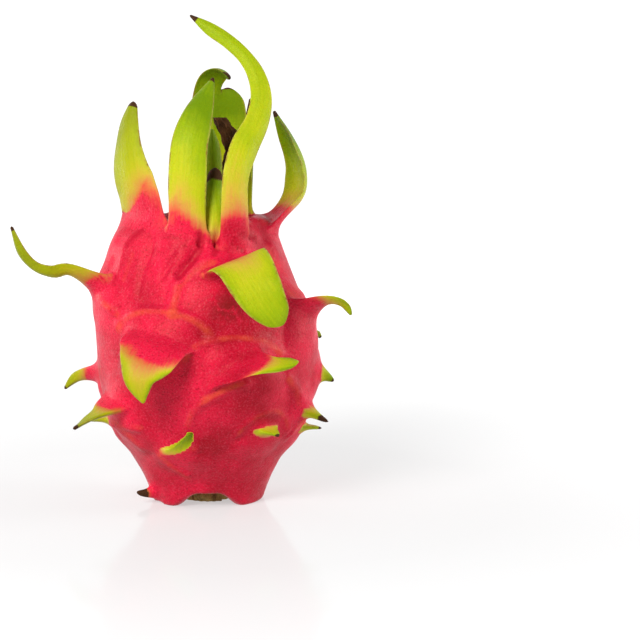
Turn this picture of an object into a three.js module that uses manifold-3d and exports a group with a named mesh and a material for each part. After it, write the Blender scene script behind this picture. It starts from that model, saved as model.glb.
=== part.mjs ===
// A whole dragon fruit, standing on its stem end. The rind is an egg-shaped body with a cushion under each
// bract (the leaf-like scales), and the bracts are fused to it. The dried stalk stub and the dried flower are
// pieces of their own. Millimetres, +Z up. The origin is on the floor, under the middle of the stalk stub.
// Azimuths are counted in degrees from the front, which faces -Y, towards +X.
import * as THREE from "three";
import { mergeVertices } from "three/addons/utils/BufferGeometryUtils.js";
import Module from "manifold-3d";

const BODY_HEIGHT = 112.5; // floor to the shoulder inside the crown
const BODY_RADIUS = 43.2; // at the widest, without the cushions
const CROWN_SHIFT = -4.5; // the body leans this far to the left at the crown
const SHIFT_FROM = 50; // height at which that lean starts
const SHIFT_OVER = 55; // and the height that it takes
const FOOT_REACH = 12; // the lobes round the stub fade out over this height
const HIGHEST_SEAT = 0.965; // share of the height above which no cushion starts
const CUSHION_BLEND = 5; // power by which neighbouring cushions meet: higher is a sharper crease
const GAP = 0.3; // between pieces that touch

const BODY_SIDES = 76; // round the body
const BODY_RINGS = 36; // along its profile
const BRACT_SIDES = 8; // round a bract
const BRACT_STEP = 6; // between a bract's rings

const PINK = new THREE.MeshStandardMaterial({ color: 0xd8294a, roughness: 0.45, metalness: 0 });
const BARK = new THREE.MeshStandardMaterial({ color: 0x6b5526, roughness: 0.9, metalness: 0 });
const DRIED = new THREE.MeshStandardMaterial({ color: 0x3b2416, roughness: 0.9, metalness: 0 });

// The body's outline as shares of its radius and height: from the hollow round the stub, over the foot, to
// the shallow bowl inside the crown.
const PROFILE = [
  [0, 0.071], [0.23, 0.068], [0.325, 0.032], [0.385, 0], [0.494, 0], [0.53, 0.027], [0.555, 0.054],
  [0.615, 0.106], [0.71, 0.173], [0.825, 0.249], [0.925, 0.342], [0.985, 0.444], [1, 0.542],
  [0.985, 0.631], [0.94, 0.706], [0.86, 0.777], [0.775, 0.845], [0.71, 0.906], [0.655, 0.955],
  [0.585, 0.99], [0.5, 1], [0.4, 0.98], [0.2, 0.94], [0, 0.93],
].map(([r, z]) => [r * BODY_RADIUS, z * BODY_HEIGHT]);

// Notches between the lobes of the foot: azimuth and half-width in degrees, and how far the rind is lifted.
const FOOT_NOTCHES = [
  [3, 34, 6],
  [150, 30, 2.5],
  [-115, 32, 2.5],
];

// A bract's rib: x, y, z of its midrib and its half-width there, from inside the flesh to the tip.
// outer: where its outer face looks at the root and at the tip.
// cup: how far the margins turn in, as a share of the half-width.
// cushion: how far it runs down the body, its half-width, its height, and how far it fades above the root.
const SIDE_CUSHION = [22, 11, 3, 9];
const BASE_CUSHION = [13, 10, 2.2, 7];
const BRACTS = [
  {
    name: "long hooked",
    rib: [
      [12.5, -22, 94, 10], [13, -29.5, 106, 7.4], [13, -31.5, 118, 5.6], [13.5, -30.5, 130, 5.3],
      [16.5, -26.5, 140.5, 5.6], [21, -22, 150, 4.7], [22.5, -18, 159, 4.1], [20.5, -13.5, 167.5, 3.5],
      [16, -10, 174.5, 2.9], [9.5, -8, 180.5, 2.8], [2, -6, 185.5, 2.5], [-5.5, -4, 190.5, 0.4],
    ],
    outer: [[0.5, -0.87, 0.1], [0, -1, 0.2]],
    cup: 0.2,
    cushion: [24, 10, 3.2, 5],
  },
  {
    name: "broad upright",
    rib: [
      [-6, -24, 95, 11.5], [-5.6, -31.5, 106, 9.4], [-5.4, -33.3, 118, 7.5], [-5.2, -33.3, 129, 7.4],
      [-4.5, -31.5, 141, 7], [-2.5, -28, 149.5, 6.3], [0.2, -22.5, 157.5, 4.5], [4, -14.5, 166.5, 0.5],
    ],
    outer: [[-0.15, -1, 0.1], [0, -0.9, 0.4]],
    cup: 0.15,
    cushion: [46, 14.5, 4.6, 5],
  },
  {
    name: "left horn",
    rib: [
      [-27, -14, 92, 15], [-27.6, -18, 104, 15], [-24.4, -19.9, 114, 15.6], [-26.2, -19.1, 122, 12],
      [-28.7, -18, 131, 9], [-29.5, -16.5, 140, 6.8], [-29, -14.5, 149, 4.9],
      [-26.9, -12.5, 157.5, 1.6],
    ],
    outer: [[-0.8, -0.62, 0.1], [-0.55, -0.83, 0.1]],
    cup: 0.2,
    cushion: [40, 16, 4.6, 8],
  },
  {
    name: "left whip",
    rib: [
      [-32.5, -12, 81.5, 13], [-38, -19.5, 85.5, 10], [-43.8, -23.5, 89.8, 5.4],
      [-50.5, -27, 93.5, 3.2], [-57.3, -30.5, 93.2, 3.1], [-63.4, -32.5, 95.6, 2.9],
      [-68.1, -34, 101.3, 2.5], [-71.4, -34, 111, 0.5],
    ],
    outer: [[-0.45, -0.8, -0.35], [-0.6, -0.75, -0.3]],
    cup: 0.25,
    cushion: [22, 12, 4.6, 15],
  },
  {
    name: "front drooping",
    rib: [
      [9.5, -25, 92, 13], [11.3, -36, 95.5, 12.6], [14.2, -46, 99, 11.3], [17.4, -53, 97.2, 10.6],
      [20.6, -57.3, 92, 9.8], [24.2, -59.3, 86.2, 8.4], [28.2, -59.3, 81, 6.3],
      [31.4, -58.5, 76.8, 3.6],
    ],
    outer: [[0.36, -0.3, -0.88], [-0.2, 0.95, -0.2]],
    cup: 0.06,
    cushion: [40, 17, 4.4, 7],
  },
  {
    name: "front left tooth",
    rib: [
      [-13.5, -31, 66, 16], [-15.4, -42, 69, 15.4], [-17, -49.5, 67.2, 13.8],
      [-19.8, -54.5, 62.2, 10.2], [-21.8, -57, 56.5, 6.4], [-21.5, -56.5, 51.5, 3.6],
      [-20.5, -55, 47, 0.5],
    ],
    outer: [[-0.2, 0, -0.98], [0.15, 0.95, -0.2]],
    cup: -0.08,
    cushion: [34, 17, 4.4, 11],
  },
  {
    name: "front right shelf",
    rib: [
      [9, -30, 54.5, 15], [13, -42, 59, 13.6], [20, -49.5, 60.5, 9], [27, -55, 61.3, 5.4],
      [33, -59.2, 62.3, 4], [37, -60.3, 63.3, 2.4],
    ],
    outer: [[0.51, 0.24, -0.8], [0.35, 0.3, -0.88]],
    cup: -0.03,
    cushion: [34, 18, 4.2, 10],
  },
  {
    name: "right arch",
    rib: [
      [31, -10, 67.5, 12], [37, -15, 75, 10], [43, -17.5, 79, 7.6], [48.8, -18, 80.8, 5.6],
      [53.8, -17, 79.2, 3.4], [57, -16, 75.2, 0.5],
    ],
    outer: [[0.1, -0.7, -0.6], [0.1, -0.2, -0.9]],
    cup: 0.2,
    cushion: [32, 13, 4, 9],
  },
  {
    name: "right curl",
    rib: [
      [21, 0, 99, 10], [26.8, 3, 108.5, 8], [33.2, 6.3, 115, 7.3], [37.6, 8.2, 121.5, 7.8],
      [38, 9, 129.5, 8], [36, 9.8, 137, 7], [32, 9.5, 145, 4.6], [26.5, 8, 153.5, 0.5],
    ],
    outer: [[0.85, 0.4, -0.2], [0.85, 0.45, 0.2]],
    cup: 0.5,
    cushion: [34, 13, 3.8, 5],
  },
  {
    name: "back hood",
    rib: [
      [-5, 14, 95, 9.5], [-4, 19, 112, 8.6], [-3.2, 21, 130, 7.6], [-2, 21, 146, 6.4],
      [-0.8, 18.5, 158, 5.8], [1.4, 14, 166, 5.4], [5.2, 9, 169.2, 4.6], [9.6, 4.5, 167, 2.8],
    ],
    outer: [[-0.1, 1, 0.1], [-0.1, 0.6, 0.8]],
    cup: 0.25,
    cushion: [42, 14, 4.2, 5],
  },
  {
    name: "back blunt",
    rib: [
      [11, 12, 95, 9.5], [10, 18, 112.5, 8], [9, 20.5, 130, 7.4], [8.7, 20.5, 146, 7.2],
      [8.3, 19, 156, 6.9], [8, 17, 163, 5],
    ],
    outer: [[0.2, 1, 0], [0.1, 1, 0]],
    cup: 0.3,
    cushion: [30, 11, 3, 5],
  },
  {
    name: "right inner",
    rib: [
      [15, 0, 100, 5.5], [16.5, 4, 119, 4.7], [17.2, 6, 135, 3.9], [17.5, 6, 149, 2.8],
      [17.5, 5, 158.5, 0.5],
    ],
    outer: [[0.8, 0.6, 0], [0.8, 0.6, 0]],
    cup: 0.4,
    cushion: [14, 8, 1.5, 5],
  },
  {
    name: "small inner",
    rib: [
      [3, -5, 99, 3.6], [3.3, -6.5, 113, 3.4], [3.5, -8, 123, 3.3], [3.7, -9, 132, 3.3],
      [3.4, -9, 140.5, 2.6], [3, -8, 147, 0.5],
    ],
    outer: [[0.1, -1, 0], [0.1, -1, 0.2]],
    cup: 0.3,
    cushion: [10, 6, 1, 5],
  },
  {
    name: "front stub",
    rib: [
      [4, -22, 95, 7], [4.2, -29.5, 105, 6], [4.5, -29.5, 113, 4.4], [4.7, -27.5, 121, 3.5],
      [4.7, -24.5, 127.5, 3.1], [4.7, -21, 132.5, 2.4],
    ],
    outer: [[0, -1, 0], [0, -0.8, 0.6]],
    cup: 0.3,
    cushion: [22, 6, 2.4, 5],
  },
  {
    name: "left small",
    rib: [
      [-38, 6, 48, 10], [-46, 10, 47.5, 6.2], [-51, 12, 47.3, 3.6], [-55, 13.5, 45, 2],
      [-58.5, 14, 41.5, 0.5],
    ],
    outer: [[0.2, -0.5, -0.8], [-0.3, -0.6, -0.7]],
    cup: 0.3,
    cushion: SIDE_CUSHION,
  },
  {
    name: "left low",
    rib: [
      [-30, -20, 41, 12], [-36, -30, 40, 7], [-40, -34.5, 39, 3.8], [-44, -37, 37.2, 2.4],
      [-48.7, -39, 34.5, 0.5],
    ],
    outer: [[0, 0.15, -1], [-0.2, -0.1, -1]],
    cup: 0.25,
    cushion: [24, 12, 3.2, 9],
  },
  {
    name: "left foot",
    rib: [[-14, -7, 5.5, 5.5], [-20.5, -11.5, 4.6, 2.6], [-24, -13.5, 4, 1.4], [-27.5, -14, 5.2, 0.5]],
    outer: [[0, 0, -1], [-0.4, 0, -0.9]],
    cup: 0.1,
    cushion: BASE_CUSHION,
  },
  {
    name: "front low",
    rib: [[-11, -19, 18, 11.5], [-9, -31, 24, 7.6], [-6.5, -36.5, 28.5, 4.4], [-4, -39.5, 33.5, 0.6]],
    outer: [[0, 0.1, -1], [0, 0.2, -1]],
    cup: 0.1,
    cushion: BASE_CUSHION,
  },
  {
    name: "right low",
    rib: [[31, -10, 37, 10.5], [38.5, -15, 37.5, 5.4], [43, -18, 36, 2.6], [48, -20, 34, 0.5]],
    outer: [[0, 0.15, -1], [0.2, -0.1, -1]],
    cup: 0.3,
    cushion: SIDE_CUSHION,
  },
  {
    name: "right small",
    rib: [[36, -2, 50.5, 10.5], [43, -2, 50.5, 5.7], [47, -2, 49.2, 3.2], [50.7, -2, 46.8, 0.5]],
    outer: [[0, -0.5, -0.85], [0.3, -0.5, -0.8]],
    cup: 0.3,
    cushion: SIDE_CUSHION,
  },
];

// Bracts on the side that the front doesn't show: azimuth, height, length, half-width and droop in degrees.
const BACK_BRACTS = [
  [148, 86, 32, 9, 80],
  [-150, 82, 32, 9.5, 60],
  [-176, 60, 28, 10.5, 100],
  [132, 58, 24, 9, 85],
  [-142, 40, 24, 9, 80],
  [150, 36, 24, 9.5, 75],
  [-90, 26, 16, 7, 55],
  [-172, 22, 17, 7.5, 60],
  [78, 24, 17, 7.5, 50],
  [120, 14, 12, 6, 30],
  [38, 27, 16, 8, 60],
];
const BACK_RISE = 35; // degrees above level at which such a bract leaves the body
const BACK_ROWS = 6; // of its rib
const BACK_DEPTH = 9; // how deep in the flesh its rib starts
const BACK_DROP = 3; // and how far under its height
const BACK_FIRST_STEP = 11; // from there to the skin
const BACK_ROOT = 1.3; // its half-width in the flesh, per half-width at the skin
const BACK_TIP = 0.6; // its half-width at the tip

// A uniform Catmull-Rom curve through rows of numbers, at t from 0 to 1.
function splineAt(rows, t) {
  const x = t * (rows.length - 1);
  const i = Math.min(Math.floor(x), rows.length - 2);
  const f = x - i;
  const [b, c] = [rows[i], rows[i + 1]];
  const a = rows[i - 1] ?? b.map((v, k) => 2 * v - c[k]);
  const d = rows[i + 2] ?? c.map((v, k) => 2 * v - b[k]);
  return b.map((v, k) => {
    const cubic = 3 * (v - c[k]) + d[k] - a[k];
    const square = 2 * a[k] - 5 * v + 4 * c[k] - d[k];
    return v + 0.5 * f * (c[k] - a[k] + f * (square + f * cubic));
  });
}

const smoothstep = (x) => {
  const t = Math.min(Math.max(x, 0), 1);
  return t * t * (3 - 2 * t);
};

const centreAt = (z) => CROWN_SHIFT * smoothstep((z - SHIFT_FROM) / SHIFT_OVER);

// The body's profile, sampled: radius, height, the outward normal's two parts and the length along it.
function profileRows(count) {
  const rows = Array.from({ length: count + 1 }, (_, k) => splineAt(PROFILE, k / count));
  let length = 0;
  return rows.map(([r, z], k) => {
    const before = rows[Math.max(k - 1, 0)];
    const after = rows[Math.min(k + 1, count)];
    const along = Math.hypot(after[0] - before[0], after[1] - before[1]);
    if (k) length += Math.hypot(r - before[0], z - before[1]);
    const normal = [(after[1] - before[1]) / along, (before[0] - after[0]) / along];
    return { r: Math.max(r, 0), z, nr: normal[0], nz: normal[1], length };
  });
}

// A bract of the hidden side, bent over by droop degrees from root to tip.
function backBract([azimuth, height, length, half, droop]) {
  const turn = THREE.MathUtils.degToRad(azimuth);
  const out = [Math.sin(turn), -Math.cos(turn)];
  const skin = profileRows(200).find((row) => row.nr > 0 && row.z >= height);
  let reach = skin.r - BACK_DEPTH;
  let rise = height - BACK_DROP;
  const rib = [];
  for (let k = 0; k < BACK_ROWS; k++) {
    const share = k / (BACK_ROWS - 1);
    const width = k ? half * (1 - share) ** 0.8 + BACK_TIP : half * BACK_ROOT;
    rib.push([centreAt(height) + out[0] * reach, out[1] * reach, rise, width]);
    const slope = THREE.MathUtils.degToRad(BACK_RISE - droop * share);
    const step = k ? length / (BACK_ROWS - 1) : BACK_FIRST_STEP;
    reach += Math.cos(slope) * step;
    rise += Math.sin(slope) * step;
  }
  const tipTurn = THREE.MathUtils.degToRad(droop);
  const lean = Math.sin(tipTurn);
  return {
    name: "back",
    rib,
    outer: [[out[0] * 0.3, out[1] * 0.3, -1], [-out[0] * lean, -out[1] * lean, -Math.cos(tipTurn)]],
    cup: 0.2,
    cushion: height > 30 ? SIDE_CUSHION : BASE_CUSHION,
  };
}

const ALL_BRACTS = [...BRACTS, ...BACK_BRACTS.map(backBract)];

// Where each bract's cushion sits on the body: azimuth in radians and length along the profile.
const CUSHION_SEATS = (() => {
  const rows = profileRows(200);
  return ALL_BRACTS.map(({ rib, cushion }) => {
    const [x, y, z] = rib[1];
    const height = Math.min(z, HIGHEST_SEAT * BODY_HEIGHT);
    const row = rows.find((candidate) => candidate.nr > 0 && candidate.z >= height);
    return { azimuth: Math.atan2(x - centreAt(z), -y), length: row.length, cushion };
  });
})();

// How far the cushions raise the body's surface at an azimuth and a profile row.
function reliefAt(azimuth, row) {
  let sum = 0;
  for (const { azimuth: seat, length, cushion } of CUSHION_SEATS) {
    const [drop, half, height, fade] = cushion;
    const turn = Math.atan2(Math.sin(azimuth - seat), Math.cos(azimuth - seat));
    const across = turn * row.r;
    const up = row.length - length;
    const down = Math.min(Math.max(-up / drop, 0), 1);
    const envelope = up > 0 ? Math.exp(-((up / fade) ** 2)) : (1 - down) ** 2 * (1 + 2 * down);
    const width = half * (1 + 0.35 * Math.sin(Math.PI * down));
    const share = Math.min(Math.abs(across) / width, 1);
    sum += (height * envelope * (1 - share ** 2.5)) ** CUSHION_BLEND;
  }
  return sum ** (1 / CUSHION_BLEND);
}

// How far the rind is lifted off the floor between the lobes of the foot.
function footLift(azimuth, z) {
  let lift = 0;
  for (const [middle, half, height] of FOOT_NOTCHES) {
    const turn = azimuth - THREE.MathUtils.degToRad(middle);
    const off = THREE.MathUtils.radToDeg(Math.abs(Math.atan2(Math.sin(turn), Math.cos(turn))));
    lift += height * smoothstep(1.3 - off / half);
  }
  return lift * Math.exp(-((z / FOOT_REACH) ** 2));
}

// A closed triangle mesh from rings of points, with the first and last ring closed by a fan on its middle.
function closedLoft(rings) {
  const sides = rings[0].length;
  const positions = rings.flat(2);
  const middle = (ring) => [0, 1, 2].map((k) => ring.reduce((sum, p) => sum + p[k], 0) / sides);
  positions.push(...middle(rings[0]), ...middle(rings[rings.length - 1]));
  const [start, end] = [rings.length * sides, rings.length * sides + 1];
  const index = [];
  for (let j = 0; j < sides; j++) {
    const next = (j + 1) % sides;
    index.push(start, next, j);
    index.push(end, (rings.length - 1) * sides + j, (rings.length - 1) * sides + next);
    for (let i = 0; i < rings.length - 1; i++) {
      const [a, b, c, d] = [i * sides + j, i * sides + next, (i + 1) * sides + j, (i + 1) * sides + next];
      index.push(a, b, d, a, d, c);
    }
  }
  return new THREE.BufferGeometry()
    .setAttribute("position", new THREE.Float32BufferAttribute(positions, 3))
    .setIndex(index);
}

// The body: its profile turned round a slightly bent axis, raised by the cushions and notched at the foot.
function bodyGeometry() {
  const rows = profileRows(BODY_RINGS).slice(1, -1);
  const rings = rows.map((row) =>
    Array.from({ length: BODY_SIDES }, (_, j) => {
      const azimuth = (2 * Math.PI * j) / BODY_SIDES;
      const relief = reliefAt(azimuth, row);
      const r = row.r + row.nr * relief;
      const z = row.z + row.nz * relief;
      const lifted = Math.max(z + footLift(azimuth, z), 0);
      return [centreAt(z) + r * Math.sin(azimuth), -r * Math.cos(azimuth), lifted];
    }),
  );
  return closedLoft(rings);
}

// A bract: a lens-shaped section carried along its midrib, thick at the root and thin at the margins.
const ROOT_THICKNESS = 3.6; // half, deep in the flesh
const BLADE_THICKNESS = 1.25; // half, in the middle of the blade
const TIP_THICKNESS = 0.7; // half
const ROOT_LENGTH = 13; // over which the root thins
const LENS_TAPER = 0.3; // how much the lens thins towards its margins
function bractGeometry({ rib, outer, cup }) {
  const apart = (row, other) => Math.hypot(row[0] - other[0], row[1] - other[1], row[2] - other[2]);
  const ribLength = rib.slice(1).reduce((sum, row, k) => sum + apart(row, rib[k]), 0);
  const steps = Math.round(ribLength / BRACT_STEP);
  const rows = Array.from({ length: steps + 1 }, (_, k) => splineAt(rib, k / steps));
  let travelled = 0;
  const rings = rows.map(([x, y, z, half], k) => {
    const share = k / steps;
    const point = new THREE.Vector3(x, y, z);
    const before = new THREE.Vector3(...rows[Math.max(k - 1, 0)]);
    const after = new THREE.Vector3(...rows[Math.min(k + 1, steps)]);
    travelled += k ? point.distanceTo(before) : 0;
    const along = after.sub(before).normalize();
    const face = new THREE.Vector3(...outer[0]).lerp(new THREE.Vector3(...outer[1]), smoothstep(share));
    face.addScaledVector(along, -face.dot(along)).normalize();
    const side = new THREE.Vector3().crossVectors(face, along);
    const blade = THREE.MathUtils.lerp(BLADE_THICKNESS, TIP_THICKNESS, share);
    const thick = blade + (ROOT_THICKNESS - blade) * Math.exp(-((travelled / ROOT_LENGTH) ** 2));
    return Array.from({ length: BRACT_SIDES }, (_, j) => {
      const turn = (2 * Math.PI * j) / BRACT_SIDES;
      const across = Math.cos(turn);
      const lens = Math.sin(turn) * thick * (1 - LENS_TAPER * across * across);
      const lift = lens - cup * half * across * across;
      return point.clone().addScaledVector(side, across * half).addScaledVector(face, lift).toArray();
    });
  });
  return closedLoft(rings);
}

// A round piece that leans and wrinkles: rows of x, y, z and radius, and a number and depth of folds round it.
function stalkGeometry(rows, { sides, folds, depth }, grow) {
  const rings = rows.map(([x, y, z, radius]) =>
    Array.from({ length: sides }, (_, j) => {
      const turn = (2 * Math.PI * j) / sides;
      const r = (radius + grow) * (1 + depth * Math.cos(folds * turn + z));
      return [x + r * Math.cos(turn), y + r * Math.sin(turn), z];
    }),
  );
  return closedLoft(rings);
}

const SOCKET_DEPTH = 2; // how far the stub's socket is cut below the floor
const STUB = [[0, 0, 0, 8.6], [0, 0, 2.5, 9.6], [0.3, 0, 6, 9.2], [0.5, 0, 10.5, 7.6]];
const STUB_SHAPE = { sides: 20, folds: 5, depth: 0.05 };
const FLOWER = [
  [2, 1.6, 99, 4.6], [5.6, 2.4, 116, 4.1], [9.5, 3.5, 130, 3.6],
  [11, 4, 138, 3.4], [8.6, 3.2, 145, 3.1], [5.4, 2.2, 151, 2.4],
];
const FLOWER_SHAPE = { sides: 12, folds: 3, depth: 0.12 };

const wasm = await Module();
wasm.setup();

function solidOf(geometry) {
  const bare = geometry.clone();
  bare.deleteAttribute("normal");
  bare.deleteAttribute("uv");
  const merged = mergeVertices(bare, 1e-4);
  const vertProperties = new Float32Array(merged.attributes.position.array);
  return new wasm.Manifold(
    new wasm.Mesh({ numProp: 3, vertProperties, triVerts: new Uint32Array(merged.index.array) }),
  );
}

function geometryOf(solid) {
  const { vertProperties, triVerts } = solid.getMesh();
  const geometry = new THREE.BufferGeometry()
    .setAttribute("position", new THREE.BufferAttribute(vertProperties, 3))
    .setIndex(new THREE.BufferAttribute(triVerts, 1));
  geometry.computeVertexNormals();
  return geometry;
}

// The socket of the stub reaches below the floor, so that it opens there.
function stubSocket() {
  const below = [[0, 0, -SOCKET_DEPTH, STUB[0][3]], ...STUB];
  const top = STUB[STUB.length - 1];
  return stalkGeometry([...below, [top[0], top[1], top[2] + GAP, top[3]]], STUB_SHAPE, GAP);
}

function flowerSocket() {
  const foot = FLOWER[0];
  return stalkGeometry([[foot[0], foot[1], foot[2] - GAP, foot[3]], ...FLOWER], FLOWER_SHAPE, GAP);
}

function fruitGeometry() {
  let fruit = solidOf(bodyGeometry());
  for (const bract of ALL_BRACTS) fruit = fruit.add(solidOf(bractGeometry(bract)));
  return geometryOf(fruit.subtract(solidOf(stubSocket())).subtract(solidOf(flowerSocket())));
}

function named(name, geometry, material) {
  const mesh = new THREE.Mesh(geometry, material);
  mesh.name = name;
  return mesh;
}

const dragonFruit = new THREE.Group();
dragonFruit.add(named("fruit", fruitGeometry(), PINK));
dragonFruit.add(named("stem_stub", stalkGeometry(STUB, STUB_SHAPE, 0), BARK));
dragonFruit.add(named("flower_remnant", stalkGeometry(FLOWER, FLOWER_SHAPE, 0), DRIED));

export default dragonFruit;
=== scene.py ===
import bpy
import numpy as np
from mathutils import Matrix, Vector


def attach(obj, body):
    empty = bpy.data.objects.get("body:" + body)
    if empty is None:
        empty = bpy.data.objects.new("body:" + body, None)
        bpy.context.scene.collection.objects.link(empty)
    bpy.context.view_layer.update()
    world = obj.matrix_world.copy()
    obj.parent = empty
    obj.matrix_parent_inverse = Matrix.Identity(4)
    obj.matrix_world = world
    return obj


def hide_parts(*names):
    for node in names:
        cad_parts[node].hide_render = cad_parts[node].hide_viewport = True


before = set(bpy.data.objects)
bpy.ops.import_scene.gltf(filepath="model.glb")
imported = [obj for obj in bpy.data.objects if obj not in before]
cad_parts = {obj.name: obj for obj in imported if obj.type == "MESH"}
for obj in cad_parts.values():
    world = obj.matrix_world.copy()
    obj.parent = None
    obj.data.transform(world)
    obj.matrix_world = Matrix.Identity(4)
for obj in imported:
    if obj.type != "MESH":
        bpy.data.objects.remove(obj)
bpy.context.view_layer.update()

bl_info = {
    "name": "Dragon Fruit",
    "version": (1, 0, 0),
    "blender": (4, 5, 0),
    "location": "3D View > Sidebar > Fruit",
    "description": "Builds a whole dragon fruit with its bracts, stalk stub and dried flower",
    "category": "Add Mesh",
}

MM = 0.001
SEED = 11

# The body's outline as shares of its radius and height, from the hollow round the stub, over the foot, to the
# shallow bowl inside the crown.
PROFILE = [
    [0, 0.071], [0.23, 0.068], [0.325, 0.032], [0.385, 0], [0.494, 0], [0.53, 0.027], [0.555, 0.054],
    [0.615, 0.106], [0.71, 0.173], [0.825, 0.249], [0.925, 0.342], [0.985, 0.444], [1, 0.542], [0.985, 0.631],
    [0.94, 0.706], [0.86, 0.777], [0.775, 0.845], [0.71, 0.906], [0.655, 0.955], [0.585, 0.99], [0.5, 1],
    [0.4, 0.98], [0.2, 0.94], [0, 0.93],
]
# From this height, and over this stretch of it, the body's axis moves to the left.
SHIFT_FROM, SHIFT_OVER = 50, 55
# No cushion is seated higher than this share of the body's height.
HIGHEST_SEAT = 0.965
# The power by which neighbouring cushions melt together.
CUSHION_BLEND = 5
# How high the notches of the foot reach, and how far from the axis the skin's relief is full.
FOOT_REACH, RELIEF_FROM = 12, 12
# Azimuth, half-width in degrees, and how far the rind is lifted off the floor there.
FOOT_NOTCHES = [(3, 34, 6), (150, 30, 2.5), (-115, 32, 2.5)]

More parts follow.
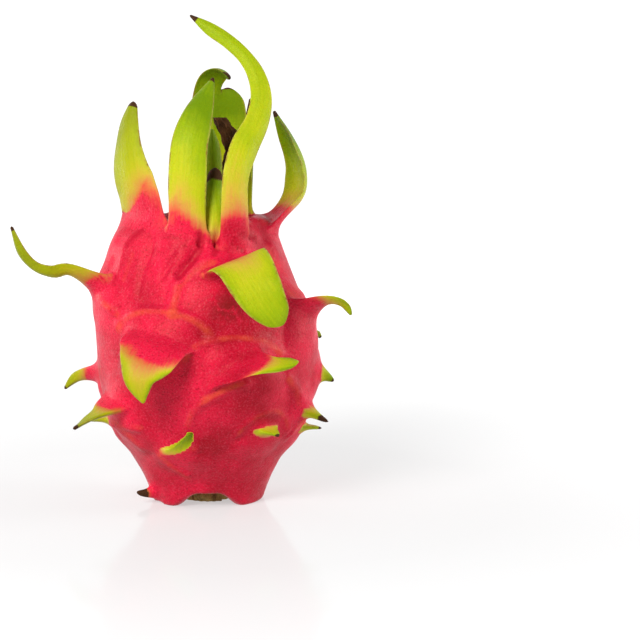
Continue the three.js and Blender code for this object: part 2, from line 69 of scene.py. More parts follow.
# What a bract's fields say:
# rib: x, y, z and half-width from inside the flesh to the tip.
# outer: where the outer face looks at the root and at the tip.
# cup: how far the margins turn in, as a share of the half-width.
# cushion: its run down the body, half-width, height, and fade above the root.
# arch: height of the ridge over a bract that hangs.
# ripe: shares of the rib where green starts and where it is full.
# most: how green it gets there. margin: how strongly the margins turn green first.
# slant: how much sooner the left margin turns than the right one.
# dry: share of the rib at the tip that is brown.
SIDE_CUSHION, BASE_CUSHION = [22, 11, 3, 9], [13, 10, 2.2, 7]
MOST_GREEN, MARGIN_GREEN, TIP_GREEN = 0.92, 0.3, 0.17
BRACTS = {
    "long hooked": dict(
        rib=[[12.5, -22, 94, 10], [13, -29.5, 106, 7.4], [13, -31.5, 118, 5.6], [13.5, -30.5, 130, 5.3],
             [16.5, -26.5, 140.5, 5.6], [21, -22, 150, 4.7], [22.5, -18, 159, 4.1],
             [20.5, -13.5, 167.5, 3.5], [16, -10, 174.5, 2.9], [9.5, -8, 180.5, 2.8], [2, -6, 185.5, 2.5],
             [-5.5, -4, 190.5, 0.4]],
        outer=[[0.5, -0.87, 0.1], [0, -1, 0.2]], cup=0.2, cushion=[24, 10, 3.2, 5], ripe=(0.19, 0.45),
        most=0.62, dry=0.03),
    "broad upright": dict(
        rib=[[-6, -24, 95, 11.5], [-5.6, -31.5, 106, 9.4], [-5.4, -33.3, 118, 7.5],
             [-5.2, -33.3, 129, 7.4], [-4.5, -31.5, 141, 7], [-2.5, -28, 149.5, 6.3],
             [0.2, -22.5, 157.5, 4.5], [4, -14.5, 166.5, 0.5]],
        outer=[[-0.15, -1, 0.1], [0, -0.9, 0.4]], cup=0.15, cushion=[46, 14.5, 4.6, 5], ripe=(0.25, 0.85),
        slant=-0.08, dry=0.03),
    "left horn": dict(
        rib=[[-27, -14, 92, 15], [-27.6, -18, 104, 15], [-24.4, -19.9, 114, 15.6], [-26.2, -19.1, 122, 12],
             [-28.7, -18, 131, 9], [-29.5, -16.5, 140, 6.8], [-29, -14.5, 149, 4.9],
             [-26.9, -12.5, 157.5, 1.6]],
        outer=[[-0.8, -0.62, 0.1], [-0.55, -0.83, 0.1]], cup=0.2, cushion=[40, 16, 4.6, 8],
        ripe=(0.42, 0.9), margin=0.4, slant=0.14, dry=0.035),
    "left whip": dict(
        rib=[[-32.5, -12, 81.5, 13], [-38, -19.5, 85.5, 10], [-43.8, -23.5, 89.8, 5.4],
             [-50.5, -27, 93.5, 3.2], [-57.3, -30.5, 93.2, 3.1], [-63.4, -32.5, 95.6, 2.9],
             [-68.1, -34, 101.3, 2.5], [-71.4, -34, 111, 0.5]],
        outer=[[-0.45, -0.8, -0.35], [-0.6, -0.75, -0.3]], cup=0.25, cushion=[22, 12, 4.6, 15],
        ripe=(0.3, 0.8), margin=0.35, dry=0.03),
    "front drooping": dict(
        rib=[[9.5, -25, 92, 13], [11.3, -36, 95.5, 12.6], [14.2, -46, 99, 11.3], [17.4, -53, 97.2, 10.6],
             [20.6, -57.3, 92, 9.8], [24.2, -59.3, 86.2, 8.4], [28.2, -59.3, 81, 6.3],
             [31.4, -58.5, 76.8, 3.6]],
        outer=[[0.36, -0.3, -0.88], [-0.2, 0.95, -0.2]], cup=0.06, cushion=[40, 17, 4.4, 7], arch=0.6,
        ripe=(0.3, 1.2), most=0.82, margin=0.6),
    "front left tooth": dict(
        rib=[[-13.5, -31, 66, 16], [-15.4, -42, 69, 15.4], [-17, -49.5, 67.2, 13.8],
             [-19.8, -54.5, 62.2, 10.2], [-21.8, -57, 56.5, 6.4], [-21.5, -56.5, 51.5, 3.6],
             [-20.5, -55, 47, 0.5]],
        outer=[[-0.2, 0, -0.98], [0.15, 0.95, -0.2]], cup=-0.08, cushion=[34, 17, 4.4, 11], arch=1.2,
        ripe=(0.6, 1.4), most=0.72, margin=0.8),
    "front right shelf": dict(
        rib=[[9, -30, 54.5, 15], [13, -42, 59, 13.6], [20, -49.5, 60.5, 9], [27, -55, 61.3, 5.4],
             [33, -59.2, 62.3, 4], [37, -60.3, 63.3, 2.4]],
        outer=[[0.51, 0.24, -0.8], [0.35, 0.3, -0.88]], cup=-0.03, cushion=[34, 18, 4.2, 10], arch=1.1,
        ripe=(0.68, 1.25), margin=0.85),
    "right arch": dict(
        rib=[[31, -10, 67.5, 12], [37, -15, 75, 10], [43, -17.5, 79, 7.6], [48.8, -18, 80.8, 5.6],
             [53.8, -17, 79.2, 3.4], [57, -16, 75.2, 0.5]],
        outer=[[0.1, -0.7, -0.6], [0.1, -0.2, -0.9]], cup=0.2, cushion=[32, 13, 4, 9], ripe=(0.62, 1.25),
        margin=0.5),
    "right curl": dict(
        rib=[[21, 0, 99, 10], [26.8, 3, 108.5, 8], [33.2, 6.3, 115, 7.3], [37.6, 8.2, 121.5, 7.8],
             [38, 9, 129.5, 8], [36, 9.8, 137, 7], [32, 9.5, 145, 4.6], [26.5, 8, 153.5, 0.5]],
        outer=[[0.85, 0.4, -0.2], [0.85, 0.45, 0.2]], cup=0.5, cushion=[34, 13, 3.8, 5], ripe=(0.3, 0.85),
        dry=0.04),
    "back hood": dict(
        rib=[[-5, 14, 95, 9.5], [-4, 19, 112, 8.6], [-3.2, 21, 130, 7.6], [-2, 21, 146, 6.4],
             [-0.8, 18.5, 158, 5.8], [1.4, 14, 166, 5.4], [5.2, 9, 169.2, 4.6], [9.6, 4.5, 167, 2.8]],
        outer=[[-0.1, 1, 0.1], [-0.1, 0.6, 0.8]], cup=0.25, cushion=[42, 14, 4.2, 5], ripe=(0.24, 0.9),
        dry=0.02),
    "back blunt": dict(
        rib=[[11, 12, 95, 9.5], [10, 18, 112.5, 8], [9, 20.5, 130, 7.4], [8.7, 20.5, 146, 7.2],
             [8.3, 19, 156, 6.9], [8, 17, 163, 5]],
        outer=[[0.2, 1, 0], [0.1, 1, 0]], cup=0.3, cushion=[30, 11, 3, 5], ripe=(0.27, 0.95), dry=0.015),
    "right inner": dict(
        rib=[[15, 0, 100, 5.5], [16.5, 4, 119, 4.7], [17.2, 6, 135, 3.9], [17.5, 6, 149, 2.8],
             [17.5, 5, 158.5, 0.5]],
        outer=[[0.8, 0.6, 0], [0.8, 0.6, 0]], cup=0.4, cushion=[14, 8, 1.5, 5], ripe=(0.2, 0.7), dry=0.12),
    "small inner": dict(
        rib=[[3, -5, 99, 3.6], [3.3, -6.5, 113, 3.4], [3.5, -8, 123, 3.3], [3.7, -9, 132, 3.3],
             [3.4, -9, 140.5, 2.6], [3, -8, 147, 0.5]],
        outer=[[0.1, -1, 0], [0.1, -1, 0.2]], cup=0.3, cushion=[10, 6, 1, 5], ripe=(0.1, 0.4)),
    "front stub": dict(
        rib=[[4, -22, 95, 7], [4.2, -29.5, 105, 6], [4.5, -29.5, 113, 4.4], [4.7, -27.5, 121, 3.5],
             [4.7, -24.5, 127.5, 3.1], [4.7, -21, 132.5, 2.4]],
        outer=[[0, -1, 0], [0, -0.8, 0.6]], cup=0.3, cushion=[22, 6, 2.4, 5], ripe=(0.3, 0.85), dry=0.14),
    "left small": dict(
        rib=[[-38, 6, 48, 10], [-46, 10, 47.5, 6.2], [-51, 12, 47.3, 3.6], [-55, 13.5, 45, 2],
             [-58.5, 14, 41.5, 0.5]],
        outer=[[0.2, -0.5, -0.8], [-0.3, -0.6, -0.7]], cup=0.3, cushion=SIDE_CUSHION, ripe=(0.5, 1.0),
        dry=0.05),
    "left low": dict(
        rib=[[-30, -20, 41, 12], [-36, -30, 40, 7], [-40, -34.5, 39, 3.8], [-44, -37, 37.2, 2.4],
             [-48.7, -39, 34.5, 0.5]],
        outer=[[0, 0.15, -1], [-0.2, -0.1, -1]], cup=0.25, cushion=[24, 12, 3.2, 9], ripe=(0.5, 0.95),
        margin=0.7, dry=0.08),
    "left foot": dict(
        rib=[[-14, -7, 5.5, 5.5], [-20.5, -11.5, 4.6, 2.6], [-24, -13.5, 4, 1.4], [-27.5, -14, 5.2, 0.5]],
        outer=[[0, 0, -1], [-0.4, 0, -0.9]], cup=0.1, cushion=BASE_CUSHION, ripe=(0.7, 1.2), dry=0.32),
    "front low": dict(
        rib=[[-11, -19, 18, 11.5], [-9, -31, 24, 7.6], [-6.5, -36.5, 28.5, 4.4], [-4, -39.5, 33.5, 0.6]],
        outer=[[0, 0.1, -1], [0, 0.2, -1]], cup=0.1, cushion=BASE_CUSHION, ripe=(0.5, 1.0)),
    "right low": dict(
        rib=[[31, -10, 37, 10.5], [38.5, -15, 37.5, 5.4], [43, -18, 36, 2.6], [48, -20, 34, 0.5]],
        outer=[[0, 0.15, -1], [0.2, -0.1, -1]], cup=0.3, cushion=SIDE_CUSHION, ripe=(0.55, 1.0), dry=0.2),
    "right small": dict(
        rib=[[36, -2, 50.5, 10.5], [43, -2, 50.5, 5.7], [47, -2, 49.2, 3.2], [50.7, -2, 46.8, 0.5]],
        outer=[[0, -0.5, -0.85], [0.3, -0.5, -0.8]], cup=0.3, cushion=SIDE_CUSHION, ripe=(0.55, 1.0),
        dry=0.1),
}

# Bracts of the back and of the low right: azimuth, height, length, half-width and droop in degrees.
BACK_BRACTS = [
    (148, 86, 32, 9, 80), (-150, 82, 32, 9.5, 60), (-176, 60, 28, 10.5, 100), (132, 58, 24, 9, 85),
    (-142, 40, 24, 9, 80), (150, 36, 24, 9.5, 75), (-90, 26, 16, 7, 55), (-172, 22, 17, 7.5, 60),
    (78, 24, 17, 7.5, 50), (120, 14, 12, 6, 30), (38, 27, 16, 8, 60),
]
# Such a bract leaves the body at this many degrees above level.
BACK_RISE = 35
# Its rib's rows, how deep in the flesh and how far under its height it starts, and the step to the skin.
BACK_ROWS, BACK_DEPTH, BACK_DROP, BACK_FIRST_STEP = 6, 9, 3, 11.0
# Its half-width in the flesh, per half-width at the skin, and the half-width at its tip.
BACK_ROOT, BACK_TIP = 1.3, 0.6
BACK_LOOKS = dict(cup=0.2, arch=1.0, ripe=(0.6, 1.25), margin=0.5, dry=0.05)
# The cushions of such bracts are smaller below this height.
BASE_BELOW = 30

# Ridges and creases of the front: height over the skin, half-width, and points as x and z on the skin.
FRONT_LINES = [
    (0.9, 1.8, [(1, 46.5), (-3.5, 41.5), (-6.5, 33)]),
    (1.3, 1.5, [(1, 46.5), (9, 50.5), (16, 53)]),
    (1.1, 1.6, [(33, 52), (35.5, 47), (37, 41)]),
    (1.2, 2.0, [(4.5, 97.5), (-3.5, 94.5), (-8.5, 88.5), (-10.5, 78.5)]),
    (1.2, 1.8, [(25, 101.5), (29.5, 91), (35.5, 82)]),
    (-1.1, 1.3, [(-14, 118.5), (-22, 110), (-29, 103.5)]),
    (-0.5, 1.4, [(-12, 119), (-17, 110.5), (-22, 104)]),
    (-2.2, 1.4, [(1, 113.5), (-0.5, 103), (-3.5, 97), (-8, 91.5)]),
    (-2.0, 1.2, [(6, 114.5), (6.5, 107), (5, 100.5)]),
    (-1.2, 0.9, [(8.5, 113), (14, 109), (18.5, 105.5)]),
    (-0.9, 0.8, [(8, 112), (11.5, 104.5), (16, 100.5)]),
    (0.8, 1.0, [(7, 109), (9.5, 103)]),
    (-0.9, 0.9, [(-4, 108), (-9, 98), (-14, 91)]),
    (-0.7, 0.9, [(-17, 103), (-21, 94), (-23, 85)]),
    (0.8, 1.3, [(-26.5, 100), (-30, 90)]),
    (-0.8, 1.0, [(-31, 96), (-34, 88)]),
    (-1.0, 1.1, [(21, 112), (23, 106.5), (29, 97)]),
    (0.9, 1.4, [(31, 95.5), (35, 88), (38, 81.5)]),
    (1.4, 1.5, [(-40.5, 83), (-36, 80), (-32.5, 77.5)]),
    (1.0, 1.4, [(-35.5, 34.5), (-29, 34.5), (-23.5, 34)]),
    (1.0, 1.3, [(-17, 23.5), (-13.5, 19.5), (-10, 16), (-6, 12.5)]),
    (1.0, 1.3, [(-16.5, 23.5), (-9.5, 25), (-2.5, 26.5)]),
    (0.8, 1.8, [(-33.5, 33.5), (-28.5, 29.5), (-23.5, 25)]),
]

# Stalk stub and dried flower: x, y, z and radius along the axis of each.
STUB = [[0, 0, 0, 8.6], [0, 0, 2.5, 9.6], [0.3, 0, 6, 9.2], [0.5, 0, 10.5, 7.6]]
FLOWER = [
    [2, 1.6, 99, 4.6], [5.6, 2.4, 116, 4.1], [9.5, 3.5, 130, 3.6], [11, 4, 138, 3.4], [8.6, 3.2, 145, 3.1],
    [5.4, 2.2, 151, 2.4],
]
# Folds round each of them, their depth as a share of the radius, and the room that its socket leaves.
STUB_FOLDS, STUB_ROOM = dict(ribs=5, depth=0.05), 0.8
FLOWER_FOLDS, FLOWER_ROOM = dict(ribs=3, depth=0.12), 0.6
# The stub's socket starts under the floor, so that it cuts right through.
SOCKET_START = [0, 0, -2, 8.6]
# How often each of the fine waves goes round.
FINE_WAVES = range(6, 22, 3)
# Sides and rings of each, and of the rougher bodies that cut their sockets.
STUB_GRID, STUB_SOCKET_GRID = (120, 40), (40, 20)
FLOWER_GRID, FLOWER_SOCKET_GRID = (72, 90), (30, 30)

# Half the thickness of a bract in the flesh, of its blade and of its tip, and how long its thick root is.
ROOT_THICKNESS, BLADE_THICKNESS, TIP_THICKNESS, ROOT_LENGTH = 3.6, 1.15, 0.6, 13
# How much thinner the lens is towards its margins.
LENS_TAPER = 0.3
# The keel's height as a share of the thickness, and its half-width as a share of the bract's.
KEEL_HEIGHT, KEEL_WIDTH = 0.25, 0.16
# The margins' waves: height as a share of the half-width, and how fast they run along the rib.
WAVE_HEIGHT, WAVE_RATE = 0.07, 14
# Grids: sides and rings of the body, and sides of a bract with the step between its rings.
BODY_SIDES, BODY_RINGS = 260, 210
BRACT_SIDES, BRACT_STEP = 26, 1.5
# Samples of a curve, of the profile where it is looked up, and of a rib where a vertex looks for it.
CURVE_SAMPLES, LOOKUP_ROWS, SPINE_SAMPLES = 600, 400, 120
# Rows at the middle of the top that a look-up by height leaves out.
TOP_ROWS = 20
# How many edges the softening of a join reaches, its rounds, and how far a point moves in each.
JOIN_REACH, JOIN_ROUNDS, JOIN_PULL = 9, 24, 0.6
# How far up their ribs the upright bracts carry creases, from which height, and over what they set in.
CREASE_REACH, CREASE_FROM, CREASE_OVER = 11, 97, 4
# The most that a ridge or crease counts for in the colour.
RIDGE_LIMIT = 1.5

# Painted shade on the front's skin, in patches under the hanging bracts: the middle, how far it reaches and
# how strong it is.
PAINTED_SHADE_PATCHES = [((14, -42, 82), 22, 0.7), ((22, -44, 50), 18, 0.7), ((3, -38, 26), 13, 0.35)]
BRUISE, BRUISE_REACH, BRUISE_CORE = (11.5, -41, 81.5), 11, 2
# Colours that aren't among the settings.
# CREASE_SHADE_RED is painted shade, laid along the creases.
RIDGE_ORANGE, CREASE_SHADE_RED, BRUISE_BROWN = (0.72, 0.13, 0.03), (0.36, 0.003, 0.018), (0.13, 0.006, 0.006)
OLIVE, RIM_YELLOW, RIM_BROWN = (0.3, 0.25, 0.004), (0.55, 0.45, 0.08), (0.16, 0.06, 0.015)
# The bracts' colours from red to yellow green, by how far they have turned. The setting for green ends them.
LEAF_STOPS = [
    (0.0, (0.62, 0.02, 0.04)), (0.12, (0.6, 0.08, 0.045)), (0.24, (0.54, 0.22, 0.05)),
    (0.36, (0.5, 0.36, 0.03)), (0.52, (0.4, 0.42, 0.007)), (0.74, (0.27, 0.36, 0.003)),
]
# To the left of the first of these, in metres, bracts grow more olive, fully so at the second.
OLIVE_FROM, OLIVE_FULL = -0.014, -0.03
# Scales of the patterns, in repeats per metre.
SCALES = dict(
    blotches=60.0, specks=1500.0, dots=1100.0, pits=1250.0, ridges=130.0, bruise=260.0, turning=100.0,
    rim=240.0, tip=420.0, gloss=300.0, grain=1100.0, dents=210.0)
# The fibres' noise runs in the bracts' own millimetres, and this much slower along them than across.
FIBRE_SCALE, FIBRE_STRETCH = 1.1, 0.07
# Light and dark browns, and the scale of the streaks.
STALK_BROWNS = (0.3, 0.19, 0.06), (0.06, 0.032, 0.01)
FLOWER_BROWNS = (0.07, 0.028, 0.009), (0.008, 0.004, 0.002)
STALK_STREAKS, FLOWER_STREAKS = 420.0, 350.0

# The soft lights: name, place, size and power. All look at the same point.
LIGHTS = [
    ("key", (-0.36, -0.78, 0.58), 0.38, 12.0),
    ("left edge", (-0.7, 0.25, 0.15), 0.35, 2.4),
    ("right edge", (0.75, 0.05, 0.25), 0.35, 4.5),
]
LIT_POINT = (0.0, 0.0, 0.09)
WORLD_STRENGTH = 0.2
# The middle of the view, to the right of the fruit and up from its foot.
VIEW_RIGHT, VIEW_UP = 0.0448, 0.0708
# How far the floor runs to the front, to each side and up the backdrop, and where and how it curves up.
SWEEP_FRONT, SWEEP_SIDE, SWEEP_TOP = -3.0, 4.0, 3.0
SWEEP_BACK, SWEEP_RADIUS, SWEEP_STEPS = 0.9, 0.5, 24
# Its own light: from one distance to another, from one strength to another.
GLOW_NEAR, GLOW_FAR, GLOW_LOW, GLOW_HIGH = 0.12, 0.7, 0.5, 0.88


class FruitSettings(bpy.types.PropertyGroup):
    """Sizes and colours of the rind and its bracts."""

    body_height: bpy.props.FloatProperty(
        name="Body height", description="From the floor to the crown's rim", default=0.1125, unit="LENGTH")
    body_radius: bpy.props.FloatProperty(
        name="Body radius", description="At the widest, without cushions", default=0.0432, unit="LENGTH")
    crown_shift: bpy.props.FloatProperty(
        name="Crown shift", description="How far the crown leans to the left", default=0.0045, unit="LENGTH")
    pink: bpy.props.FloatVectorProperty(
        name="Rind", description="Red of the rind", default=(0.62, 0.007, 0.04), subtype="COLOR")
    # Deep rind serves the blotches and pits, and is also the painted shade in the valleys and under the
    # hanging bracts.
    deep: bpy.props.FloatVectorProperty(
        name="Deep rind", description="Darker red in patches", default=(0.31, 0.002, 0.013), subtype="COLOR")
    bloom: bpy.props.FloatVectorProperty(
        name="Specks", description="Pale specks on the rind", default=(0.78, 0.12, 0.17), subtype="COLOR")
    green: bpy.props.FloatVectorProperty(
        name="Green", description="Green of the bract tips", default=(0.13, 0.22, 0.002), subtype="COLOR")
    dried: bpy.props.FloatVectorProperty(
        name="Dried", description="Brown of the dried tips", default=(0.045, 0.019, 0.008), subtype="COLOR")


class StudioSettings(bpy.types.PropertyGroup):
    """Where the camera stands and how much it sees."""

    distance: bpy.props.FloatProperty(
        name="Distance", description="From the camera to the middle of the view", default=0.8, unit="LENGTH")
    elevation: bpy.props.FloatProperty(
        name="Elevation", description="How far it looks down", default=np.radians(7), subtype="ANGLE")
    view_width: bpy.props.FloatProperty(
        name="View width", description="Width of the picture there", default=0.256, unit="LENGTH")


def smoothstep(x):
    """0 under 0, 1 over 1, and x squared times (3 - 2x) between."""
    x = np.clip(x, 0, 1)
    return x * x * (3 - 2 * x)


def bell(x):
    """The exponential of minus x squared: 1 at 0, and falling away on both sides."""
    return np.exp(-(x**2))


def wrapped(angle):
    """The same angle, between minus and plus half a turn."""
    return np.arctan2(np.sin(angle), np.cos(angle))


def normalised(vectors):
    """Each vector divided by its length."""
    return vectors / np.maximum(np.linalg.norm(vectors, axis=-1, keepdims=True), 1e-9)


def spline(rows, t):
    """Smooth curve through the rows: on each span a cubic whose slope at a row is half the step between the
    rows before and after it."""
    rows = np.asarray(rows, float)
    x = np.clip(t, 0, 1) * (len(rows) - 1)
    i = np.minimum(x.astype(int), len(rows) - 2)
    f = (x - i)[:, None]
    padded = np.vstack([2 * rows[0] - rows[1], rows, 2 * rows[-1] - rows[-2]])
    a, b, c, d = (padded[i + k] for k in range(4))
    return b + 0.5 * f * (c - a + f * (2 * a - 5 * b + 4 * c - d + f * (3 * (b - c) + d - a)))


def even_spline(rows, shares, dims):
    """The same curve at shares of its length, where the first dims columns are a place. Also gives the
    length."""
    dense = spline(rows, np.linspace(0, 1, CURVE_SAMPLES))
    steps = np.linalg.norm(np.diff(dense[:, :dims], axis=0), axis=1)
    length = np.concatenate([[0], np.cumsum(steps)])
    at = shares * length[-1]
    return np.stack([np.interp(at, length, column) for column in dense.T], axis=1), length[-1]


def centre_at(z, fruit):
    """The body's middle moves to the left over a stretch of its height, by smoothstep."""
    return -fruit.crown_shift / MM * smoothstep((z - SHIFT_FROM) / SHIFT_OVER)


def body_rows(fruit, count):
    """The profile at even steps of its length: radius, height, the normal's two parts, and the length so
    far."""
    scale = np.array([fruit.body_radius, fruit.body_height]) / MM
    rows, length = even_spline(np.array(PROFILE) * scale, np.linspace(0, 1, count + 1), 2)
    step = normalised(np.gradient(rows, axis=0))
    return rows[:, 0], rows[:, 1], step[:, 1], -step[:, 0], np.linspace(0, length, count + 1)


def back_bract(seat, fruit):
    """A bract that leaves the body at a rise and bends over by its droop, in even steps from root to tip.
    Its half-width falls by the power 0.8 of what is left of its length."""
    azimuth, height, length, half, droop = seat
    r, z, nr, _, _ = body_rows(fruit, LOOKUP_ROWS)
    out = np.array([np.sin(np.radians(azimuth)), -np.cos(np.radians(azimuth))])
    skin = r[(nr > 0) & (z >= height)][0]
    share = np.arange(BACK_ROWS) / (BACK_ROWS - 1)
    slope = np.radians(BACK_RISE - droop * share)
    step = np.where(share > 0, length / (BACK_ROWS - 1), BACK_FIRST_STEP)
    reach = skin - BACK_DEPTH + np.concatenate([[0], np.cumsum(np.cos(slope) * step)[:-1]])
    rise = height - BACK_DROP + np.concatenate([[0], np.cumsum(np.sin(slope) * step)[:-1]])
    width = np.where(share > 0, half * (1 - share) ** 0.8 + BACK_TIP, half * BACK_ROOT)
    rib = np.stack([centre_at(height, fruit) + out[0] * reach, out[1] * reach, rise, width], axis=1)
    lean = np.radians(droop)
    root_face = [out[0] * 0.3, out[1] * 0.3, -1]
    tip_face = [*(-out * np.sin(lean)), -np.cos(lean)]
    cushion = SIDE_CUSHION if height > BASE_BELOW else BASE_CUSHION
    return dict(rib=rib.tolist(), outer=[root_face, tip_face], cushion=cushion, **BACK_LOOKS)


def all_bracts(fruit):
    """Those of the front, then those of the back."""
    return list(BRACTS.values()) + [back_bract(seat, fruit) for seat in BACK_BRACTS]


def distance_to_line(x, z, points):
    """Shortest distance in the front view from each x, z to a line through the points."""
    best = np.full(x.shape, np.inf)
    for (x0, z0), (x1, z1) in zip(points, points[1:]):
        dx, dz = x1 - x0, z1 - z0
        t = np.clip(((x - x0) * dx + (z - z0) * dz) / (dx**2 + dz**2), 0, 1)
        best = np.minimum(best, np.hypot(x - x0 - t * dx, z - z0 - t * dz))
    return best


def front_lines(x, z, turn):
    """Height of the front's ridges and creases, each a bell across its line, which fade round the sides."""
    total = np.zeros(np.broadcast(x, z).shape)
    for height, half, points in FRONT_LINES:
        total += height * bell(distance_to_line(x, z, points) / half)
    return total * smoothstep(0.3 + 1.5 * np.cos(turn))


def crease_roots(points, high, along, fruit):
    """Carries the front's ridges and creases on over the roots of the upright bracts, fading up their ribs.
    Gives the points, and how far each was moved outwards."""
    x, y, z = points.T
    x = x - centre_at(z, fruit)
    lines = front_lines(points[:, 0], z, np.arctan2(x, -y))
    height = lines * (high > 0) * smoothstep(2 - along / CREASE_REACH)
    height = height * smoothstep((z - CREASE_FROM) / CREASE_OVER)
    out = normalised(np.stack([x, y, 0 * z], axis=1))
    return points + out * height[:, None], height


def cushion_height(across, up, cushion):
    """A cushion, full at its root, fades down the body by a cubic and above the root by a bell. It falls to
    its sides by the power 2.5, and is widest halfway down."""
    drop, half, tall, fade = cushion
    down = np.clip(-up / drop, 0, 1)
    envelope = np.where(up > 0, bell(up / fade), (1 - down) ** 2 * (1 + 2 * down))
    width = half * (1 + 0.35 * np.sin(np.pi * down))
    share = np.minimum(np.abs(across) / width, 1)
    return tall * envelope * (1 - share**2.5)


def arch_height(across, up, half, tall):
    """A ridge on a half circle over a hanging bract's root, a bell across its line."""
    ring = np.hypot(across / (1.15 * half), up / 10.5)
    return tall * bell((ring - 1) / 0.13) * smoothstep(up / 6 + 0.4)


def swell_height(turn, z):
    """Slow, shallow waves: two sines that cross, and a finer one. The foot's edge has none."""
    crossed = 0.22 * np.sin(3 * turn + 0.09 * z) * np.sin(0.13 * z + 2 * turn)
    return (crossed + 0.15 * np.sin(9 * turn - 0.21 * z)) * smoothstep(z / FOOT_REACH)


def body_relief(turn, r, z, length, fruit, bracts):
    """How far the skin is raised: the bracts' cushions, which meet by a power mean, the arches, the front's
    lines and the swell. Gives the whole, the arches with the lines, and the cushions."""
    _, profile_z, nr, _, profile_length = body_rows(fruit, LOOKUP_ROWS)
    highest = HIGHEST_SEAT * fruit.body_height / MM
    total = np.zeros(np.broadcast(turn, r).shape)
    arches = np.zeros_like(total)
    for bract in bracts:
        x, y, height, _ = bract["rib"][1]
        seat = profile_length[(nr > 0) & (profile_z >= min(height, highest))][0]
        across = wrapped(turn - np.arctan2(x - centre_at(height, fruit), -y)) * r
        up = length - seat
        total += cushion_height(across, up, bract["cushion"]) ** CUSHION_BLEND
        if "arch" in bract:
            arches = np.maximum(arches, arch_height(across, up, bract["cushion"][1], bract["arch"]))
    lines = front_lines(centre_at(z, fruit) + r * np.sin(turn), z, turn)
    cushions = total ** (1 / CUSHION_BLEND)
    return cushions + arches + lines + swell_height(turn, z), arches + lines, cushions


def body_grid(fruit, bracts):
    """The body: the profile turned round an axis that shifts with height, moved along its normal by the
    relief, and lifted between the lobes of the foot. Gives the rings of points."""
    r, z, nr, nz, length = (column[1:-1, None] for column in body_rows(fruit, BODY_RINGS))
    turn = 2 * np.pi * np.arange(BODY_SIDES)[None, :] / BODY_SIDES
    relief, _, _ = body_relief(turn, r, z, length, fruit, bracts)
    # The hollow round the stub and the middle of the top stay smooth, because the rings run together there.
    relief = relief * smoothstep(r / RELIEF_FROM)
    r, z = r + nr * relief, z + nz * relief
    lift = np.zeros_like(r)
    for middle, half, height in FOOT_NOTCHES:
        off = np.abs(wrapped(turn - np.radians(middle)))
        lift += height * smoothstep(1.3 - np.degrees(off) / half)
    z = np.maximum(z + lift * bell(z / FOOT_REACH), 0)
    return np.stack([centre_at(z, fruit) + r * np.sin(turn), -r * np.cos(turn), z], axis=-1)


def bract_frame(bract, shares):
    """Along the rib: its points, half-widths, the outer face's direction, the sideways direction and the
    length."""
    rows, length = even_spline(bract["rib"], shares, 3)
    along = normalised(np.gradient(rows[:, :3], shares, axis=0))
    root, tip = np.array(bract["outer"], float)
    face = root + (tip - root) * smoothstep(shares)[:, None]
    face = normalised(face - along * np.sum(face * along, axis=1, keepdims=True))
    return rows[:, :3], rows[:, 3], face, np.cross(face, along), length


def rounded_end(shares, stretch):
    """1 along the rib, and a quarter circle down to a blunt end over the last stretch."""
    past = np.clip((shares - 1 + stretch) / stretch, 0, 1)
    return np.sqrt(np.clip(1 - past**2, 0.02, 1))


def bract_grid(bract, phase):
    """A bract: a lens carried along its rib, thick in the flesh and thin at the margins, cupped by the
    square of the place across, with a keel on its outer face, slow waves in the margins and a rounded end.
    Its rings come closer towards the tip."""
    length = even_spline(bract["rib"], np.array([0, 1]), 3)[1]
    steps = int(length / BRACT_STEP)
    shares = 1 - (1 - np.linspace(0, 1, steps + 1)) ** 1.35
    point, half, face, side, _ = bract_frame(bract, shares)
    end = rounded_end(shares, 1.2 * half[-1] / length)
    blade = BLADE_THICKNESS + (TIP_THICKNESS - BLADE_THICKNESS) * shares
    thick = (blade + (ROOT_THICKNESS - blade) * bell(shares * length / ROOT_LENGTH)) * end
    turn = 2 * np.pi * np.arange(BRACT_SIDES) / BRACT_SIDES
    across, up = np.cos(turn)[None, :], np.sin(turn)[None, :]
    half, thick, out = (half * end)[:, None], thick[:, None], smoothstep(shares * 3 - 0.5)[:, None]
    ripple = np.sin(WAVE_RATE * shares[:, None] + phase + 1.5 * across)
    wave = WAVE_HEIGHT * half * ripple * across**2 * out
    keel = KEEL_HEIGHT * bell(across / KEEL_WIDTH) * (up > 0) * out * thick
    lens = up * thick * (1 - LENS_TAPER * across**2)
    lift = lens - bract["cup"] * half * across**2 + wave + keel
    return point[:, None] + side[:, None] * (across * half)[..., None] + face[:, None] * lift[..., None]


def stalk_grid(rows, sides, rings, ribs, depth, grow=0.0, seed=0):
    """A round piece: rings along a leaning axis, whose radius is folded by a cosine round it and by finer
    waves. Grown to cut a socket, it has no fine waves."""
    rows, _ = even_spline(rows, np.linspace(0, 1, rings), 3)
    turn = 2 * np.pi * np.arange(sides)[None, :] / sides
    z, radius = rows[:, 2:3], rows[:, 3:4]
    folds = 1 + depth * np.cos(ribs * turn + z)
    if not grow:
        draw = np.random.default_rng(seed)
        for waves in FINE_WAVES:
            start = draw.uniform(0, 6)
            lean = draw.uniform(-0.6, 0.6)
            folds = folds + 0.5 * depth * np.sin(waves * turn + start + lean * z)
    r = (radius + grow) * folds
    return np.stack([rows[:, 0:1] + r * np.cos(turn), rows[:, 1:2] + r * np.sin(turn), z + 0 * turn], axis=-1)


